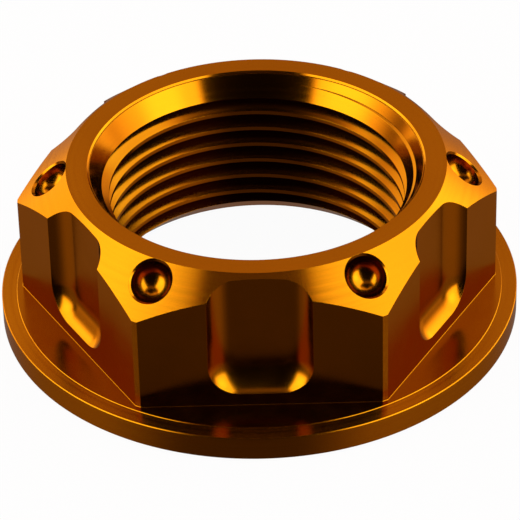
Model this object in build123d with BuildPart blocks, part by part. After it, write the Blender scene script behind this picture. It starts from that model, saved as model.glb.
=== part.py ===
from build123d import *
import math
import os

os.makedirs("parts", exist_ok=True)

# A flanged hexagon nut that clamps the fork's top plate to the steering stem. Millimetres, with +Z
# along the bore, out of the nut's top. The origin is the middle of the flange's underside.

# Flange: flat where the hexagon stands, then one fine step down and a slight fall to the rim.
flange_diameter = 40.0
flange_thickness = 2.0
rim_band_width = 1.2
flange_step = 0.06
rim_fall = 0.08
rim_chamfer = 0.06

# Hexagon: milled from a turned body that stands a ledge's width inside the flange's step, and is
# just slim enough to blunt the six corners.
nut_height = 12.95
across_flats = 32.0
corner_ledge = 0.45
root_radius = 0.13

# Cone that takes the corners down to a flat ring round the mouth of the bore.
cone_angle = 39.0
land_diameter = 29.0

# Bore at the thread's inner diameter, one pitch under its outer one. A steep lead-in opens it above,
# and a 45 degree countersink below. Both are wider than the thread at their mouths.
thread_diameter = 24.0
thread_pitch = 1.5
mouth_clearance = 0.75
lead_in_angle = 33.0
foot_clearance = 0.9

# Pocket down the middle of each flat, cut by a round-nosed tool that leaves through the cone.
pocket_width = 7.8
pocket_depth = 1.12
pocket_foot_height = 3.0
pocket_corner_radius = 2.8
tool_nose_radius = 2.35

# Round-bottomed dimple square to the cone above each corner. Its edge break bites a little into the
# flat ring's edge.
dimple_diameter = 3.2
dimple_depth = 1.7
dimple_edge_break = 0.18
dimple_bite = 0.05

sides = 6
cutter_overrun = 3.0

# Heights and radii that follow from the sizes above.
flange_radius = flange_diameter / 2
flat_ring_radius = flange_radius - rim_band_width
step_foot_height = flange_thickness - flange_step
rim_height = step_foot_height - rim_fall
corner_radius = flat_ring_radius - corner_ledge
land_radius = land_diameter / 2
thread_radius = thread_diameter / 2
mouth_radius = thread_radius + mouth_clearance
bore_radius = thread_radius - thread_pitch / 2
lead_in_depth = (mouth_radius - bore_radius) / math.tan(math.radians(lead_in_angle))
foot_radius = thread_radius + foot_clearance
cone_slope = math.tan(math.radians(cone_angle))


def cone_height(radius):
    """Height of the cone's surface at a distance from the bore's axis."""
    return nut_height - (radius - land_radius) * cone_slope


# Cutter for one pocket, on the flat that faces -Y. Its floor is a rounded rectangle, and the nose
# radius runs along the floor's whole edge, so the pocket is narrower at the floor than at the flat.
nose_gap = max(tool_nose_radius - pocket_depth, 0)
nose_overhang = tool_nose_radius - math.sqrt(tool_nose_radius**2 - nose_gap**2)
cutter_width = pocket_width + 2 * nose_overhang
cutter_foot = pocket_foot_height - nose_overhang
cutter_height = nut_height + pocket_corner_radius + cutter_overrun - cutter_foot
floor_distance = across_flats / 2 - pocket_depth
pocket_plane = Plane(
    origin=(0, -floor_distance, cutter_foot + cutter_height / 2), x_dir=(1, 0, 0), z_dir=(0, -1, 0)
)

with BuildPart() as pocket_cutter:
    with BuildSketch(pocket_plane):
        RectangleRounded(cutter_width, cutter_height, pocket_corner_radius)
    extrude(amount=pocket_depth + tool_nose_radius + cutter_overrun)
    fillet(pocket_cutter.faces().sort_by(Axis.Y)[-1].edges(), radius=tool_nose_radius)

# Cutter for one dimple, above the corner on +X: a short round wall on a ball end, with an edge break
# at the cone's surface. Its plane's x runs down the slope, and its y stands square to the cone.
tilt = math.radians(cone_angle)
dimple_radius = dimple_diameter / 2
dimple_mouth_radius = dimple_radius + dimple_edge_break
dimple_ring_radius = land_radius + dimple_mouth_radius * math.cos(tilt) - dimple_bite
dimple_centre = Vector(dimple_ring_radius, 0, cone_height(dimple_ring_radius))
dimple_plane = Plane(
    origin=dimple_centre, x_dir=(math.cos(tilt), 0, -math.sin(tilt)), z_dir=(0, -1, 0)
)
ball_depth = dimple_depth - dimple_radius

with BuildPart() as dimple_cutter:
    with BuildSketch(dimple_plane):
        with BuildLine():
            ball = CenterArc((0, -ball_depth), dimple_radius, -90, 90)
            Polyline(
                ball @ 1,
                (dimple_radius, -dimple_edge_break),
                (dimple_mouth_radius, 0),
                (dimple_mouth_radius + cutter_overrun, cutter_overrun),
                (0, cutter_overrun),
                ball @ 0,
            )
        make_face()
    revolve(axis=Axis(dimple_centre, dimple_plane.y_dir))

with BuildPart() as stem_nut:
    # The turned blank, from the countersink's foot round the outside and back down the bore.
    with BuildSketch(Plane.XZ):
        with BuildLine():
            Polyline(
                (foot_radius, 0),
                (flange_radius - rim_chamfer, 0),
                (flange_radius, rim_chamfer),
                (flange_radius, rim_height - rim_chamfer),
                (flange_radius - rim_chamfer, rim_height),
                (flat_ring_radius + flange_step, step_foot_height),
                (flat_ring_radius, flange_thickness),
                (corner_radius, flange_thickness),
                (corner_radius, cone_height(corner_radius)),
                (land_radius, nut_height),
                (mouth_radius, nut_height),
                (bore_radius, nut_height - lead_in_depth),
                (bore_radius, foot_radius - bore_radius),
                close=True,
            )
        make_face()
    revolve(axis=Axis.Z)

    # Six flats, milled down to the flange.
    with BuildSketch(Plane.XY.offset(flange_thickness)):
        Circle(flange_radius)
        RegularPolygon(across_flats / 2, sides, major_radius=False, mode=Mode.SUBTRACT)
    extrude(amount=nut_height, mode=Mode.SUBTRACT)

    # The cutter leaves a small radius where the hexagon meets the flange.
    flange_top = stem_nut.faces().filter_by(Axis.Z).sort_by(Axis.Z)[1]
    fillet(flange_top.inner_wires()[0].edges(), radius=root_radius)

    # One pocket on each flat and one dimple at each corner.
    with PolarLocations(0, sides):
        add(pocket_cutter.part, mode=Mode.SUBTRACT)
        add(dimple_cutter.part, mode=Mode.SUBTRACT)

stem_nut.part.label = "stem_nut"
export_step(stem_nut.part, "parts/stem_nut.step")
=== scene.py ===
# %% [markdown]
# # A steering stem nut
#
# This nut clamps the top plate of a motorcycle fork to its steering stem. It is turned from
# aluminium bar: a thin flange, a hexagon that ends in a cone, a threaded bore. Then it is milled:
# six flats, a pocket down the middle of each and a dimple above each corner. Last, it is anodised
# gold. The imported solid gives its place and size, and everything here is drawn to fit that solid.

import math

import bmesh
import bpy
from mathutils import Matrix, Quaternion, Vector


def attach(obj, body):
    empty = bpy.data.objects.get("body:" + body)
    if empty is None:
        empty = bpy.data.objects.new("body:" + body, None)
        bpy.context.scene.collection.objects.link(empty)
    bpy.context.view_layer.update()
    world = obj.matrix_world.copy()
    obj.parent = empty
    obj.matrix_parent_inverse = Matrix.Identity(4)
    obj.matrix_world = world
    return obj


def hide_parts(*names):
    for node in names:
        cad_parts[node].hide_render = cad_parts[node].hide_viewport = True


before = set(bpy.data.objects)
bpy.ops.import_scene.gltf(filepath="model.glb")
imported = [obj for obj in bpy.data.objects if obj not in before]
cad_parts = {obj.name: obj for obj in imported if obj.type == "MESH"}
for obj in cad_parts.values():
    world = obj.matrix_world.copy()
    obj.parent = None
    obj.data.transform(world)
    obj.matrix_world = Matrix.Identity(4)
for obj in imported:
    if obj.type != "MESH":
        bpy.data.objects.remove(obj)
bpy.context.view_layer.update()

# %% [markdown]
# ## The camera
#
# The nut is seen from the front and about 35 degrees above, through a long lens that keeps its
# circles close to true ellipses. A lens can be guessed and corrected by eye, but a few points whose
# places on the nut are known (corners, rims) fix it much better, so these numbers come from such a
# fit. The picture is also turned by a little over one degree, as a hand-held one would be.

# %% Camera
MM = 0.001

camera_place = Vector((0.60, -225.88, 165.02)) * MM
camera_aim = Vector((0.111, -2.950, 5.842)) * MM
camera_roll = math.radians(-1.47)

camera = bpy.data.objects.new("camera", bpy.data.cameras.new("camera"))
bpy.context.scene.collection.objects.link(camera)
camera.data.sensor_width = 36.0
camera.data.lens = 247.9
camera.data.clip_start = 0.01
camera.data.clip_end = 20.0
camera.location = camera_place
camera.rotation_mode = "QUATERNION"
camera.rotation_quaternion = (camera_aim - camera_place).to_track_quat("-Z", "Y") @ Quaternion(
    (0, 0, 1), camera_roll
)
bpy.context.scene.camera = camera
print("the camera stands", round((camera_aim - camera_place).length / MM), "mm from the nut")

# %% [markdown]
# ## Sizes
#
# A turned part is drawn from one half of its section, so the sizes below are radii and heights in
# millimetres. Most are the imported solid's own sizes. Those of the flange's step, of the radius at
# the foot of the flats, and of the lead-in and its mouth differ by 0.13 mm or half a degree at
# most, which suits the thin highlights there. The solid leaves out the thread, M24 with a pitch of
# 1.5, and a narrow step with a broken edge at the mouth.

# %% Sizes
sides = 6
flange_radius = 20.0
flange_thickness = 2.0
flat_ring_radius = 18.8
flange_step = 0.04
rim_fall = 0.06
rim_chamfer = 0.06

nut_height = 12.95
flat_distance = 16.0
corner_radius = 18.35
root_radius = 0.05
cone_angle = math.radians(39.0)
land_radius = 14.5

mouth_radius = 12.88
mouth_chamfer = 0.13
mouth_step = 0.05
lead_in_angle = math.radians(33.5)
crest_radius = 11.3
foot_radius = 12.9

thread_pitch = 1.5
thread_root_radius = 12.3
flank_angle = math.radians(30.0)

step_foot_height = flange_thickness - flange_step
rim_height = step_foot_height - rim_fall
cutter_overrun = 3.0
tolerance = 0.01


def cone_height(radius):
    """Height of the cone's surface at a distance from the bore's axis."""
    return nut_height - (radius - land_radius) * math.tan(cone_angle)


print("the cone starts", round(cone_height(corner_radius), 2), "mm above the flange's underside")

# %% [markdown]
# ## Helpers for shapes
#
# Round shapes start as a half section that is spun about an axis. A mesh that has been built step by
# step becomes an object, and one object is cut with another. The cutting is done with a Boolean
# modifier that is applied at once. Its exact solver gives clean edges where a round cutter runs out
# of a flat or a cone, which is hard to draw face by face. The faces that a cutter leaves keep the
# cutter's own finish, so turned, milled and threaded surfaces can be told apart later.

# %% Names of the finishes
finish_names = ("turned", "bored", "milled", "scooped", "dimpled", "threaded")
finishes = {name: bpy.data.materials.new(name) for name in finish_names}
print("the finishes are", ", ".join(finish_names))


# %% Section and spin
def section(*points):
    """A bmesh with one face in the plane through the axis, from (radius, height) points."""
    bm = bmesh.new()
    bm.faces.new([bm.verts.new((radius, 0, height)) for radius, height in points])
    bm.verts.ensure_lookup_table()
    return bm


def turn(bm, steps):
    """Spins the section that is in the bmesh once round the Z axis."""
    for face in list(bm.faces):
        bmesh.ops.delete(bm, geom=[face], context="FACES_ONLY")
    bmesh.ops.spin(
        bm, geom=bm.verts[:] + bm.edges[:], cent=(0, 0, 0), axis=(0, 0, 1), dvec=(0, 0, 0),
        angle=2 * math.pi, steps=steps, use_merge=True, use_duplicate=False,
    )


def verts_of(geometry):
    """The vertices out of what a bmesh operator has given back."""
    return [g for g in geometry if isinstance(g, bmesh.types.BMVert)]


# %% Pieces, cuts and repeats
doubles_distance = 1e-5


def make_piece(name, bm, finish):
    """An object from a bmesh, with its doubles merged and its normals pointing outwards."""
    bmesh.ops.remove_doubles(bm, verts=bm.verts, dist=doubles_distance)
    bmesh.ops.recalc_face_normals(bm, faces=bm.faces)
    mesh = bpy.data.meshes.new(name)
    bm.to_mesh(mesh)
    bm.free()
    mesh.materials.append(finishes[finish])
    piece = bpy.data.objects.new(name, mesh)
    bpy.context.scene.collection.objects.link(piece)
    return piece


def cut(piece, cutter):
    """Takes the cutter's volume off the piece, and the cutter out of the scene."""
    modifier = piece.modifiers.new("cut", "BOOLEAN")
    modifier.operation = "DIFFERENCE"
    modifier.solver = "EXACT"
    modifier.material_mode = "TRANSFER"
    modifier.object = cutter
    graph = bpy.context.evaluated_depsgraph_get()
    result = bpy.data.meshes.new_from_object(piece.evaluated_get(graph))
    piece.modifiers.clear()
    piece.data = result
    bpy.data.objects.remove(cutter)
    print("after this cut the nut has", len(result.polygons), "faces")


def repeat_round(bm):
    """Repeats what is in the bmesh on the other sides of the hexagon."""
    first = bm.verts[:] + bm.edges[:] + bm.faces[:]
    for side in range(1, sides):
        copy = bmesh.ops.duplicate(bm, geom=first)["geom"]
        bmesh.ops.rotate(
            bm, cent=(0, 0, 0), matrix=Matrix.Rotation(side * 2 * math.pi / sides, 3, "Z"),
            verts=verts_of(copy),
        )


# %% [markdown]
# ## The turned blank
#
# On the lathe the nut is one solid of revolution: the flange with a fine step and a slight fall to
# its rim, the body, the cone, the flat ring round the mouth, and the bore with its lead-in. It could
# be stacked from cylinders and cones, but those would have to be joined. So its half section is
# drawn as one face, the inside corner at the flange is rounded with a bevel, and the outline is
# spun. 360 steps keep the reflections on the cone free of facets.

# %% Turned blank
turning_steps = 360
rounding_steps = 8
flange_corner = 7
chamfer_radius = mouth_radius - mouth_chamfer
step_height = nut_height - mouth_chamfer - mouth_step
lead_in_radius = chamfer_radius - mouth_step
lead_in_foot = step_height - (lead_in_radius - crest_radius) / math.tan(lead_in_angle)

blank_section = section(
    (foot_radius, 0),
    (flange_radius - rim_chamfer, 0),
    (flange_radius, rim_chamfer),
    (flange_radius, rim_height - rim_chamfer),
    (flange_radius - rim_chamfer, rim_height),
    (flat_ring_radius + flange_step, step_foot_height),
    (flat_ring_radius, flange_thickness),
    (corner_radius, flange_thickness),
    (corner_radius, cone_height(corner_radius)),
    (land_radius, nut_height),
    (mouth_radius, nut_height),
    (chamfer_radius, nut_height - mouth_chamfer),
    (chamfer_radius, step_height),
    (lead_in_radius, step_height),
    (crest_radius, lead_in_foot),
    (crest_radius, foot_radius - crest_radius),
)
bmesh.ops.bevel(
    blank_section, geom=[blank_section.verts[flange_corner]], offset=root_radius,
    segments=rounding_steps, profile=0.5, affect="VERTICES", material=-1,
)
turn(blank_section, turning_steps)
nut = make_piece("stem_nut_finished", blank_section, "turned")
nut.data.materials.append(finishes["bored"])
bored_slot = nut.data.materials.find("bored")
for face in nut.data.polygons:
    if face.center.xy.length < mouth_radius and face.center.z < nut_height - tolerance:
        face.material_index = bored_slot
print("the blank has", len(nut.data.polygons), "faces")

# %% [markdown]
# ## The hexagon
#
# A mill takes away what is outside six flats, down to the flange, and leaves a small radius at
# their foot. A prism could be added to the flange instead, but when the turned body is cut, its
# six blunt corners stay by themselves. The cutter is a ring with a hexagonal hole. The lower edge
# of that hole is rounded, and the rounding stays on the nut as the radius.

# %% Hexagon
hexagon_radius = flat_distance / math.cos(math.pi / sides)
cutter_reach = 26.0
cutter_top = nut_height + cutter_overrun
foot_zone = 0.1

bm = bmesh.new()
rings = [
    bmesh.ops.create_circle(bm, segments=sides, radius=radius, cap_ends=False)["verts"]
    for radius in (hexagon_radius, cutter_reach)
]
half_side = Matrix.Rotation(math.pi / sides, 3, "Z")
bmesh.ops.rotate(bm, cent=(0, 0, 0), matrix=half_side, verts=bm.verts)
ring = bmesh.ops.bridge_loops(bm, edges=bm.edges[:])["faces"]
raised = bmesh.ops.extrude_face_region(bm, geom=ring, use_keep_orig=True)["geom"]
bmesh.ops.translate(bm, vec=(0, 0, cutter_top - flange_thickness), verts=verts_of(raised))
bmesh.ops.translate(bm, vec=(0, 0, flange_thickness), verts=bm.verts)
bmesh.ops.recalc_face_normals(bm, faces=bm.faces)
foot_verts = {
    v for v in bm.verts
    if v.co.z < flange_thickness + foot_zone and v.co.xy.length < hexagon_radius + foot_zone
}
foot_edges = [e for e in bm.edges if foot_verts.issuperset(e.verts)]
bmesh.ops.bevel(
    bm, geom=foot_edges, offset=root_radius, segments=rounding_steps, profile=0.5, affect="EDGES",
    material=-1,
)
cut(nut, make_piece("hexagon_cutter", bm, "milled"))

# %% [markdown]
# ## The pockets
#
# Each flat has a shallow pocket down its middle that leaves through the cone. A tool with a rounded
# nose cuts it, so its floor is flat and runs up to the flat in a curve on both sides and at the
# foot. A plain box would be a simpler cutter, but the light would show its hard corners at once. So
# the cutter is a rectangle whose corners are rounded, raised to a block, with the edge round its
# floor beveled to the nose radius.

# %% Pockets
pocket_width = 7.8
pocket_depth = 1.12
pocket_foot_height = 3.0
pocket_corner_radius = 2.8
tool_nose_radius = 2.35

nose_gap = tool_nose_radius - pocket_depth
nose_overhang = tool_nose_radius - math.sqrt(tool_nose_radius**2 - nose_gap**2)
block_width = pocket_width + 2 * nose_overhang
block_foot = pocket_foot_height - nose_overhang
block_height = cutter_top + pocket_corner_radius - block_foot
floor_distance = flat_distance - pocket_depth
block_thickness = tool_nose_radius + 4.0
nose_steps = 24

bm = bmesh.new()
corners = bmesh.ops.create_grid(bm, x_segments=1, y_segments=1, size=0.5)["verts"]
bmesh.ops.scale(bm, vec=(block_width, block_height, 1), verts=corners)
bmesh.ops.bevel(
    bm, geom=corners, offset=pocket_corner_radius, segments=nose_steps, profile=0.5,
    affect="VERTICES", material=-1,
)
raised = bmesh.ops.extrude_face_region(bm, geom=bm.faces[:], use_keep_orig=True)["geom"]
bmesh.ops.translate(bm, vec=(0, 0, block_thickness), verts=verts_of(raised))
bmesh.ops.recalc_face_normals(bm, faces=bm.faces)
floor_edges = [e for e in bm.edges if all(abs(v.co.z) < tolerance for v in e.verts)]
bmesh.ops.bevel(
    bm, geom=floor_edges, offset=tool_nose_radius, segments=nose_steps, profile=0.5,
    affect="EDGES", material=-1,
)
bmesh.ops.translate(bm, vec=(0, block_foot + block_height / 2, floor_distance), verts=bm.verts)
bmesh.ops.rotate(bm, cent=(0, 0, 0), matrix=Matrix.Rotation(math.pi / 2, 3, "X"), verts=bm.verts)
repeat_round(bm)
cut(nut, make_piece("pocket_cutters", bm, "scooped"))

# %% [markdown]
# ## The dimples
#
# Above each corner a ball-nosed tool has sunk a dimple square to the cone, and a countersink has
# broken its edge. A sphere could be the cutter, but the dimple has a short straight wall as well. So
# the cutter's half section is spun round its own axis, tipped over to stand square to the cone, and
# repeated at the six corners. The section's edge on the axis is left over by the spin, and deleted.

# %% Dimples
dimple_radius = 1.6
dimple_depth = 1.7
dimple_edge_break = 0.18
dimple_bite = 0.05
dimple_steps = 96
pole_gap = 0.001
pole_merge = 1e-4
dimple_mouth_radius = dimple_radius + dimple_edge_break
dimple_ring_radius = land_radius + dimple_mouth_radius * math.cos(cone_angle) - dimple_bite
ball_height = dimple_radius - dimple_depth

bm = section(
    (0, ball_height - dimple_radius),
    (dimple_radius, ball_height - dimple_radius),
    (dimple_radius, -dimple_edge_break),
    (dimple_mouth_radius, 0),
    (dimple_mouth_radius, cutter_overrun),
    (0, cutter_overrun),
)
bmesh.ops.bevel(
    bm, geom=[bm.verts[1]], offset=dimple_radius - pole_gap, segments=nose_steps, profile=0.5,
    affect="VERTICES", material=-1,
)
turn(bm, dimple_steps)
bmesh.ops.remove_doubles(bm, verts=bm.verts, dist=pole_merge)
axis_edges = [e for e in bm.edges if not e.link_faces or len(e.link_faces) > 2]
bmesh.ops.delete(bm, geom=axis_edges, context="EDGES_FACES")
bmesh.ops.rotate(bm, cent=(0, 0, 0), matrix=Matrix.Rotation(cone_angle, 3, "Y"), verts=bm.verts)
dimple_height = cone_height(dimple_ring_radius)
bmesh.ops.translate(bm, vec=(dimple_ring_radius, 0, dimple_height), verts=bm.verts)
repeat_round(bm)
cut(nut, make_piece("dimple_cutters", bm, "dimpled"))

# %% [markdown]
# ## The thread
#
# The thread is one groove that winds down the bore, between two flanks 60 degrees apart. A stack of
# rings would be easier and look nearly the same, but rings never run out at the mouth. A spin with
# a step along the axis draws the groove's cutter in one go. It starts in the open mouth, above the
# metal, so the groove runs out by itself where the lead-in has become wider than the groove is deep.

# %% Thread
groove_start = math.pi
groove_start_height = 12.63
steps_per_turn = 180
thread_turns = 9.25
root_flat = 0.04
inner_reach = 11.15

half_root = root_flat / 2
half_mouth = half_root + (thread_root_radius - inner_reach) * math.tan(flank_angle)
bm = bmesh.new()
outline = [
    bm.verts.new((radius, 0, groove_start_height + height))
    for radius, height in (
        (inner_reach, half_mouth), (thread_root_radius, half_root),
        (thread_root_radius, -half_root), (inner_reach, -half_mouth),
    )
]
outline_edges = [bm.edges.new((outline[i], outline[(i + 1) % 4])) for i in range(4)]
bmesh.ops.rotate(bm, cent=(0, 0, 0), matrix=Matrix.Rotation(groove_start, 3, "Z"), verts=bm.verts)
bmesh.ops.spin(
    bm, geom=outline + outline_edges, cent=(0, 0, 0), axis=(0, 0, 1),
    dvec=(0, 0, -thread_pitch / steps_per_turn), angle=-thread_turns * 2 * math.pi,
    steps=round(thread_turns * steps_per_turn), use_merge=False, use_duplicate=False,
)
bm.verts.ensure_lookup_table()
for ends in (bm.verts[:4], bm.verts[-4:]):
    bm.faces.new(ends)
print("the groove's cutter has", len(bm.faces), "faces")
cut(nut, make_piece("groove_cutter", bm, "threaded"))

# %% [markdown]
# ## Finishing the mesh
#
# Cuts leave doubled vertices and slivers, so those are merged and dissolved before the mesh goes
# from millimetres to metres. Every face is shaded smooth and the edges where the surface turns by
# more than 14 degrees are marked sharp. Flat shading would be simpler, but it would show each of the
# 360 steps of the turning in the reflections. The end mill that cut the flats also went over the
# ring at their foot, so that ring gets the milled finish.

# %% Finish the mesh
merge_distance = 2e-4
sliver_length = 1e-5
sharp_angle = math.radians(14)
nearly_level = 0.99
ring_height = flange_thickness * MM
height_error = 1e-5

bm = bmesh.new()
bm.from_mesh(nut.data)
bmesh.ops.remove_doubles(bm, verts=bm.verts, dist=merge_distance)
bmesh.ops.dissolve_degenerate(bm, edges=bm.edges, dist=sliver_length)
bmesh.ops.scale(bm, vec=(MM, MM, MM), verts=bm.verts)
milled_slot = nut.data.materials.find("milled")
for face in bm.faces:
    face.smooth = True
    height = face.calc_center_median().z
    if face.normal.z > nearly_level and abs(height - ring_height) < height_error:
        face.material_index = milled_slot
loose = sum(not edge.is_manifold for edge in bm.edges)
bm.to_mesh(nut.data)
bm.free()
nut.data.set_sharp_from_angle(angle=sharp_angle)
nut.data.calc_loop_triangles()
print("the finished nut has", len(nut.data.loop_triangles), "triangles and", loose, "open edges")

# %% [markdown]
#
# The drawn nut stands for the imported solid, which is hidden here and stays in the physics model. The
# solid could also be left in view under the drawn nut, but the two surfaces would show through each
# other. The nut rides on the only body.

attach(nut, "root")
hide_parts("stem_nut")
print(nut.name, "rides on root in the place of stem_nut")

# %% [markdown]
# ## Helpers for nodes
#
# A material is a graph, and a graph that is written out link by link is hard to read. These helpers
# make one node each and give back its result, so that a formula can be nested like ordinary
# arithmetic. The first one makes a node group, which is a formula with named inputs and outputs
# that several materials can share.

# %% Node groups
def value_group(name, inputs, outputs):
    """A new node group whose sockets are named here, with its input and output nodes."""
    group = bpy.data.node_groups.new(name, "ShaderNodeTree")
    kinds = {"value": "NodeSocketFloat", "colour": "NodeSocketColor", "vector": "NodeSocketVector"}
    for socket, kind, default in inputs:
        made = group.interface.new_socket(socket, in_out="INPUT", socket_type=kinds[kind])
        made.default_value = default
    for socket, kind in outputs:
        group.interface.new_socket(socket, in_out="OUTPUT", socket_type=kinds[kind])
    return group, group.nodes.new("NodeGroupInput").outputs, group.nodes.new("NodeGroupOutput").inputs


def fill(tree, socket, source):
    """Gives a socket its source: another socket, or a constant."""
    if isinstance(source, bpy.types.NodeSocket):
        tree.links.new(source, socket)
    else:
        socket.default_value = source


def use_group(tree, group, values):
    """A node that stands for the group in this tree, with its sockets filled, and its results."""
    node = tree.nodes.new("ShaderNodeGroup")
    node.node_tree = group
    for socket, value in values.items():
        fill(tree, node.inputs[socket], value)
    return node.outputs


# %% Sums
def maths(tree, operation, *sources):
    """One Math node and its result."""
    node = tree.nodes.new("ShaderNodeMath")
    node.operation = operation
    for socket, source in zip(node.inputs, sources):
        fill(tree, socket, source)
    return node.outputs["Value"]


def vector_maths(tree, operation, output, *sources):
    """One Vector Math node and the named result. A factor for SCALE comes last."""
    node = tree.nodes.new("ShaderNodeVectorMath")
    node.operation = operation
    sockets = (node.inputs[0], node.inputs["Scale"] if operation == "SCALE" else node.inputs[1])
    for socket, source in zip(sockets, sources):
        fill(tree, socket, source)
    return node.outputs[output]


def remap(tree, source, from_low, from_high, to_low, to_high, smooth=False):
    """One Map Range node and its result."""
    node = tree.nodes.new("ShaderNodeMapRange")
    node.interpolation_type = "SMOOTHSTEP" if smooth else "LINEAR"
    for socket, value in (
        ("Value", source), ("From Min", from_low), ("From Max", from_high),
        ("To Min", to_low), ("To Max", to_high),
    ):
        fill(tree, node.inputs[socket], value)
    return node.outputs["Result"]


# %% Colours, noise and places
def mix_colours(tree, factor, first, second):
    """One Mix node between two colours, and its result."""
    node = tree.nodes.new("ShaderNodeMix")
    node.data_type = "RGBA"
    for socket, source in (("Factor", factor), ("A", first), ("B", second)):
        fill(tree, node.inputs[socket], source)
    return node.outputs["Result"]


def blots(tree, place, scale, detail):
    """Soft noise in three dimensions, with about this many blots to the metre."""
    node = tree.nodes.new("ShaderNodeTexNoise")
    fill(tree, node.inputs["Vector"], place)
    fill(tree, node.inputs["Scale"], scale)
    node.inputs["Detail"].default_value = detail
    return node.outputs["Fac"]


def lines(tree, along, scale, detail):
    """Soft noise along one measure, which draws lines across it."""
    node = tree.nodes.new("ShaderNodeTexNoise")
    node.noise_dimensions = "1D"
    fill(tree, node.inputs["W"], along)
    fill(tree, node.inputs["Scale"], scale)
    node.inputs["Detail"].default_value = detail
    return node.outputs["Fac"]


def object_place(tree):
    """Where a point lies on the piece, in metres."""
    return tree.nodes.new("ShaderNodeTexCoord").outputs["Object"]


def parts_of(tree, vector):
    """The X, Y and Z of a vector."""
    node = tree.nodes.new("ShaderNodeSeparateXYZ")
    fill(tree, node.inputs["Vector"], vector)
    return node.outputs


# %% [markdown]
# ## The dye
#
# Anodising grows a clear oxide on the aluminium, full of fine pores that hold a dye. The dye is
# never quite even: it is a little stronger in some places than in others, and thinner on edges,
# where the oxide is thin. A plain colour would do from afar, but close up it looks like paint. So the
# group takes a dye and gives it back with wide mottling, a fine grain, and a paler tone where its
# mask says that there is an edge.

# %% Dye
patches_per_metre = 220.0
specks_per_metre = 9000.0
noise_middle = 0.5

dye_group, given, result = value_group(
    "anodised_dye",
    [
        ("Dye", "colour", (0.8, 0.8, 0.8, 1)), ("Mottling", "value", 0.1), ("Grain", "value", 0.05),
        ("Edge", "value", 0.0), ("Edge Dye", "colour", (0.9, 0.5, 0.1, 1)),
    ],
    [("Colour", "colour")],
)
place = object_place(dye_group)
patches = blots(dye_group, place, patches_per_metre, 3.0)
patches = maths(dye_group, "SUBTRACT", patches, noise_middle)
specks = blots(dye_group, place, specks_per_metre, 1.0)
specks = maths(dye_group, "SUBTRACT", specks, noise_middle)
shade = maths(dye_group, "MULTIPLY_ADD", patches, given["Mottling"], 1.0)
shade = maths(dye_group, "MULTIPLY_ADD", specks, given["Grain"], shade)
uneven = vector_maths(dye_group, "SCALE", "Vector", given["Dye"], shade)
fill(dye_group, result["Colour"], mix_colours(dye_group, given["Edge"], uneven, given["Edge Dye"]))
print("made", dye_group.name)

# %% [markdown]
# ## Tool marks
#
# A lathe leaves rings and a mill leaves short passes with a fine grain between them. Rings follow
# the distance from the axis on a flat face and the height on an upright one, so the two are added
# up with a share that suits the slope. Noise along that one measure draws lines without a seam,
# which a picture of rings would have. Each group gives a height for a bump and a gloss that changes
# more slowly, because a tool polishes some turns more than others.

# %% Turning rings
gloss_line_share = 0.23

ring_group, given, result = value_group(
    "turning_rings",
    [("Lines Per Metre", "value", 9000.0), ("Height Share", "value", -0.8)],
    [("Height", "value"), ("Gloss", "value")],
)
parts = parts_of(ring_group, object_place(ring_group))
squares = [maths(ring_group, "MULTIPLY", parts[axis], parts[axis]) for axis in ("X", "Y")]
axis_distance = maths(ring_group, "SQRT", maths(ring_group, "ADD", *squares))
along = maths(ring_group, "MULTIPLY_ADD", parts["Z"], given["Height Share"], axis_distance)
wide_lines = maths(ring_group, "MULTIPLY", given["Lines Per Metre"], gloss_line_share)
fill(ring_group, result["Height"], lines(ring_group, along, given["Lines Per Metre"], 2.0))
fill(ring_group, result["Gloss"], lines(ring_group, along, wide_lines, 3.0))
print("made", ring_group.name)

# %% Milling marks
pass_share = 0.5
gloss_blots_per_metre = 700.0

mill_group, given, result = value_group(
    "milling_marks",
    [("Lines Per Metre", "value", 6000.0), ("Grain Per Metre", "value", 14000.0)],
    [("Height", "value"), ("Gloss", "value")],
)
place = object_place(mill_group)
height = parts_of(mill_group, place)["Z"]
passes = lines(mill_group, height, given["Lines Per Metre"], 2.0)
grain = blots(mill_group, place, given["Grain Per Metre"], 2.0)
fill(mill_group, result["Height"], maths(mill_group, "MULTIPLY_ADD", passes, pass_share, grain))
fill(mill_group, result["Gloss"], blots(mill_group, place, gloss_blots_per_metre, 3.0))
print("made", mill_group.name)

# %% [markdown]
# ## Edges
#
# No machined edge is perfectly sharp, and its tiny round catches the light as a thin line. A real
# bevel on every edge of a mesh that comes from cuts would be fragile, so the shading does it: the
# Bevel node gives a normal that is rounded near edges. How far that normal has turned from the true
# one also tells where an edge is, and that mask thins the dye there.

# %% Edges
edge_begins = 0.99
edge_is_full = 0.9

edge_group, given, result = value_group(
    "edge_break", [("Radius", "value", 0.00003)], [("Edge", "value"), ("Normal", "vector")]
)
rounded = edge_group.nodes.new("ShaderNodeBevel")
rounded.samples = 4
fill(edge_group, rounded.inputs["Radius"], given["Radius"])
true_normal = edge_group.nodes.new("ShaderNodeNewGeometry").outputs["Normal"]
likeness = vector_maths(edge_group, "DOT_PRODUCT", "Value", true_normal, rounded.outputs["Normal"])
edge_mask = remap(edge_group, likeness, edge_begins, edge_is_full, 0.0, 1.0)
fill(edge_group, result["Edge"], edge_mask)
fill(edge_group, result["Normal"], rounded.outputs["Normal"])
print("made", edge_group.name)
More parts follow.
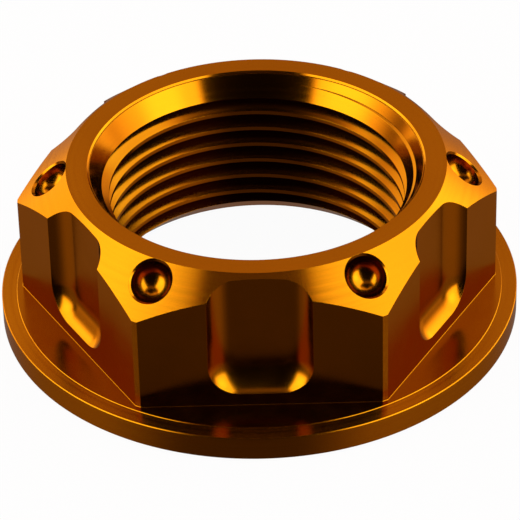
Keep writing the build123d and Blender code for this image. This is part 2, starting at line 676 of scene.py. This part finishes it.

# %% [markdown]
# ## The finishes
#
# One formula makes all the finishes, because it is one dye on one alloy: only the marks under it
# differ. Turned faces have fine rings, which pull a reflection out across them, so they are given an
# anisotropic gloss with the rings' own direction. Light that reaches the camera by way of two faces
# of the nut has passed the dye twice and comes back a deep red. Where a face is seen mirrored in
# another, its colour is swapped for a much darker red. This is painted shade, which keeps the thread
# and the foot of the flats as dark as on the real nut. In the thread's grooves and the dimples most of
# the light comes by way of other faces. The darkest painted shade would turn them almost black, so
# theirs is lighter.

# %% Dyes
gold_dye = (0.82, 0.18, 0.0028, 1)
thread_dye = (0.56, 0.117, 0.002, 1)
worn_dye = (0.9, 0.3, 0.02, 1)
# Painted shade: the much darker colours that faces take where they are seen mirrored in other faces.
painted_shade_gold = (0.1, 0.0155, 0.001, 1)
painted_shade_thread = (0.15, 0.029, 0.001, 1)
painted_shade_dimple = (0.22, 0.045, 0.002, 1)
grazing_tint = (0.8, 0.7, 0.54, 1)
edge_radius = 0.03 * MM
edge_wear = 0.15
print("gold as red, green and blue light:", gold_dye[:3])


# %% Anodising
gloss_low = 0.3
gloss_high = 0.7
across_the_rings = 0.25


def anodise(
    finish, marks, roughness, gloss_spread, mark_depth, stretch, mottling, grain,
    dye=gold_dye, reflection_shade=painted_shade_gold,
):
    """Gold anodised aluminium over the marks that a tool has left."""
    tree = finishes[finish].node_tree
    shader = tree.nodes["Principled BSDF"]
    edge = use_group(tree, edge_group, {"Radius": edge_radius})
    edge_mask = maths(tree, "MULTIPLY", edge["Edge"], edge_wear)
    colour = use_group(
        tree, dye_group,
        {"Dye": dye, "Mottling": mottling, "Grain": grain, "Edge": edge_mask, "Edge Dye": worn_dye},
    )["Colour"]
    # Painted shade: where this face is seen mirrored in another face, its dye is swapped for a much
    # darker colour.
    mirrored = tree.nodes.new("ShaderNodeLightPath").outputs["Is Glossy Ray"]
    fill(tree, shader.inputs["Base Color"], mix_colours(tree, mirrored, colour, reflection_shade))

    dull = roughness + gloss_spread
    shiny = roughness - gloss_spread
    gloss = remap(tree, marks["Gloss"], gloss_low, gloss_high, shiny, dull)
    fill(tree, shader.inputs["Roughness"], gloss)
    bump = tree.nodes.new("ShaderNodeBump")
    bump.inputs["Distance"].default_value = mark_depth
    fill(tree, bump.inputs["Height"], marks["Height"])
    fill(tree, bump.inputs["Normal"], edge["Normal"])
    fill(tree, shader.inputs["Normal"], bump.outputs["Normal"])
    shader.inputs["Metallic"].default_value = 1.0
    shader.inputs["Specular Tint"].default_value = grazing_tint
    if stretch:
        shader.inputs["Anisotropic"].default_value = stretch
        shader.inputs["Anisotropic Rotation"].default_value = across_the_rings
        lay = tree.nodes.new("ShaderNodeTangent")
        lay.direction_type = "RADIAL"
        lay.axis = "Z"
        fill(tree, shader.inputs["Tangent"], lay.outputs["Tangent"])
    print(finish, "has a roughness from", round(shiny, 2), "to", round(dull, 2))


# %% Marks of each tool
def rings(finish, lines_per_metre, height_share):
    """Turning rings in a finish. The share of the height depends on the faces' slope."""
    finishes[finish].use_nodes = True
    values = {"Lines Per Metre": lines_per_metre, "Height Share": height_share}
    return use_group(finishes[finish].node_tree, ring_group, values)


def mill_marks(finish):
    """Milling marks in a finish."""
    finishes[finish].use_nodes = True
    return use_group(finishes[finish].node_tree, mill_group, {})


# %% Turned and bored
anodise(
    "turned", rings("turned", 9000.0, -0.8), roughness=0.22, gloss_spread=0.03, mark_depth=6e-7,
    stretch=0.75, mottling=0.08, grain=0.05,
)
anodise(
    "bored", rings("bored", 7000.0, 0.6), roughness=0.14, gloss_spread=0.02, mark_depth=5e-7,
    stretch=0.3, mottling=0.06, grain=0.03,
)
anodise(
    "threaded", rings("threaded", 11000.0, 0.5), roughness=0.17, gloss_spread=0.03, mark_depth=5e-7,
    stretch=0.3, mottling=0.08, grain=0.04, dye=thread_dye, reflection_shade=painted_shade_thread,
)

# %% Milled
anodise(
    "milled", mill_marks("milled"), roughness=0.21, gloss_spread=0.03, mark_depth=5e-7,
    stretch=0.0, mottling=0.12, grain=0.05,
)
anodise(
    "scooped", mill_marks("scooped"), roughness=0.21, gloss_spread=0.03, mark_depth=6e-7,
    stretch=0.0, mottling=0.12, grain=0.08,
)
anodise(
    "dimpled", mill_marks("dimpled"), roughness=0.19, gloss_spread=0.03, mark_depth=5e-7,
    stretch=0.0, mottling=0.12, grain=0.05, reflection_shade=painted_shade_dimple,
)

# %% [markdown]
# ## The floor
#
# The nut lies on a white ground that runs on into the white behind it. Light Path makes the floor
# plain white where the camera looks at it, with a small share of ordinary paint left in, so that
# the nut's soft shadow stays. The paint is reddish, which makes up for the tent's cool light. A
# brighter lamp would also whiten the floor, but would bleach the gold as well. The metal doesn't
# mirror this white: below the horizon it mirrors the dark table that the light tent has, because
# the real nut's upright faces are dark.

# %% Floor
floor_reach = 3.0
bm = bmesh.new()
bmesh.ops.create_grid(bm, x_segments=1, y_segments=1, size=floor_reach)
floor_mesh = bpy.data.meshes.new("floor")
bm.to_mesh(floor_mesh)
bm.free()
floor = bpy.data.objects.new("floor", floor_mesh)
bpy.context.scene.collection.objects.link(floor)
floor.visible_glossy = False
print("the floor is", round(floor.dimensions.x, 1), "metres wide")

# %% Floor paint
whiteness = 0.96
reddish = (1.0, 0.55, 0.52, 1)

paint = bpy.data.materials.new("floor_paint")
floor_mesh.materials.append(paint)
paint.use_nodes = True
tree = paint.node_tree
paint_shader = tree.nodes["Principled BSDF"]
paint_shader.inputs["Base Color"].default_value = reddish
paint_shader.inputs["Roughness"].default_value = 0.8
path = tree.nodes.new("ShaderNodeLightPath").outputs
seen = maths(tree, "ADD", path["Is Camera Ray"], path["Is Glossy Ray"])
seen = maths(tree, "ADD", seen, path["Is Transmission Ray"])
white = tree.nodes.new("ShaderNodeEmission")
white.inputs["Color"].default_value = (1, 1, 1, 1)
blend = tree.nodes.new("ShaderNodeMixShader")
fill(tree, blend.inputs["Fac"], maths(tree, "MULTIPLY", seen, whiteness))
fill(tree, blend.inputs[1], paint_shader.outputs["BSDF"])
fill(tree, blend.inputs[2], white.outputs["Emission"])
fill(tree, tree.nodes["Material Output"].inputs["Surface"], blend.outputs["Shader"])
print("the floor's white counts for", whiteness, "of what the camera sees")

# %% [markdown]
# ## A panel of the light tent
#
# Polished metal has hardly a look of its own: it shows what stands round it. Its picture says that
# two tall white panels stood at the left and the right, with a dark gap in front, where the camera
# was. Lamps could do this, but their edges and feet are hard to place, so the world does it. Each
# panel is a patch of sky between two bearings and two elevations, with an edge of its own softness
# on every side.

# %% Tent panel
panel_sides = ("From Bearing", "To Bearing", "From Elevation", "To Elevation")
panel_edges = ("From Soft", "To Soft", "Foot Soft", "Head Soft")
panel_sockets = ("Bearing", "Elevation") + panel_sides + panel_edges + ("Radiance",)
panel_group, given, result = value_group(
    "tent_panel", [(socket, "value", 1.0) for socket in panel_sockets], [("Radiance", "value")]
)
share = given["Radiance"]
for side, edge, sign in zip(panel_sides, panel_edges, (1, -1, 1, -1)):
    half_edge = maths(panel_group, "MULTIPLY", given[edge], 0.5 * sign)
    outside = maths(panel_group, "SUBTRACT", given[side], half_edge)
    inside = maths(panel_group, "ADD", given[side], half_edge)
    towards = given[side.split()[1]]
    within = remap(panel_group, towards, outside, inside, 0.0, 1.0, smooth=True)
    share = maths(panel_group, "MULTIPLY", share, within)
fill(panel_group, result["Radiance"], share)
print("made", panel_group.name)

# %% [markdown]
# ## The light tent
#
# Bearings are counted from the camera's side, to the right as positive. The light that comes from a
# direction is the sum of all panels. The strongest light is tinted a little towards cyan, which
# keeps the gold's highlights from turning plain orange. The panels behind the nut use the bearing
# without its sign, because it jumps from 180 to -180 degrees there.

# %% Directions
world = bpy.data.worlds.new("light_tent")
bpy.context.scene.world = world
world.use_nodes = True
sky = world.node_tree
direction = parts_of(sky, sky.nodes.new("ShaderNodeTexCoord").outputs["Generated"])
backward = maths(sky, "MULTIPLY", direction["Y"], -1.0)
bearing = maths(sky, "DEGREES", maths(sky, "ARCTAN2", direction["X"], backward))
elevation = maths(sky, "DEGREES", maths(sky, "ARCSINE", direction["Z"]))
either_side = maths(sky, "ABSOLUTE", bearing)
to_camera = camera_place - camera_aim
camera_elevation = math.degrees(math.atan2(to_camera.z, to_camera.xy.length))
print("the camera stands at an elevation of", round(camera_elevation, 1), "degrees")

# %% Panels
# Bearing, from and to bearing, from and to elevation, softness of the four edges, radiance.
tent_panels = {
    "right key": (bearing, 39.5, 82, -2, 62.5, 6, 16, 10, 10, 2.8),
    "right hot spot": (bearing, 54, 80, 12, 36, 12, 16, 16, 16, 1.0),
    "right side": (bearing, 82, 142, 12, 60, 16, 10, 26, 14, 2.6),
    "right rear": (bearing, 116, 156, 2, 32, 16, 8, 14, 20, 1.1),
    "left key": (bearing, -84, -44, 3, 58.5, 14, 8, 14, 12, 3.0),
    "left hot spot": (bearing, -80, -54, 12, 36, 16, 12, 16, 16, 0.6),
    "left side": (bearing, -122, -84, 16.5, 56, 16, 14, 18, 14, 3.1),
    "left rear": (bearing, -160, -122, 2, 42, 10, 16, 14, 20, 2.1),
    "front head": (bearing, -45, 45, 60, 73, 10, 10, 8, 10, 0.16),
    "back": (either_side, 145, 200, 20, 60, 20, 1, 20, 20, 0.39),
    "back head": (either_side, 110, 200, 56, 76, 40, 1, 14, 10, 0.8),
    "table": (bearing, -200, 200, -100, -30, 1, 1, 1, 8, 0.049),
    "table left": (bearing, -200, -58, -100, -5, 1, 50, 1, 10, 0.15),
    "table right": (bearing, 36, 200, -100, -7, 44, 1, 1, 10, 0.155),
    "horizon left": (bearing, -200, -104, -14, 8, 1, 24, 8, 10, 0.55),
    "horizon right": (bearing, 104, 200, -14, 8, 24, 1, 8, 10, 0.45),
}
print("the panels are", ", ".join(tent_panels))

# %% Light tent
base_glow = 0.003
tint_onset = 2.2

glow = base_glow
for around, *numbers in tent_panels.values():
    values = dict(zip(panel_sockets, (around, elevation, *numbers)))
    glow = maths(sky, "ADD", glow, use_group(sky, panel_group, values)["Radiance"])

strength = maths(sky, "POWER", maths(sky, "DIVIDE", glow, tint_onset), 2.0)
tint = sky.nodes.new("ShaderNodeCombineColor")
fill(sky, tint.inputs["Red"], maths(sky, "INVERSE_SQRT", maths(sky, "ADD", 1.0, strength)))
tint.inputs["Green"].default_value = 1.0
tint.inputs["Blue"].default_value = 1.0
fill(sky, sky.nodes["Background"].inputs["Color"], tint.outputs["Color"])
fill(sky, sky.nodes["Background"].inputs["Strength"], glow)
bpy.context.scene.view_settings.view_transform = "Standard"
print("the tent's tint starts at a radiance of about", tint_onset)
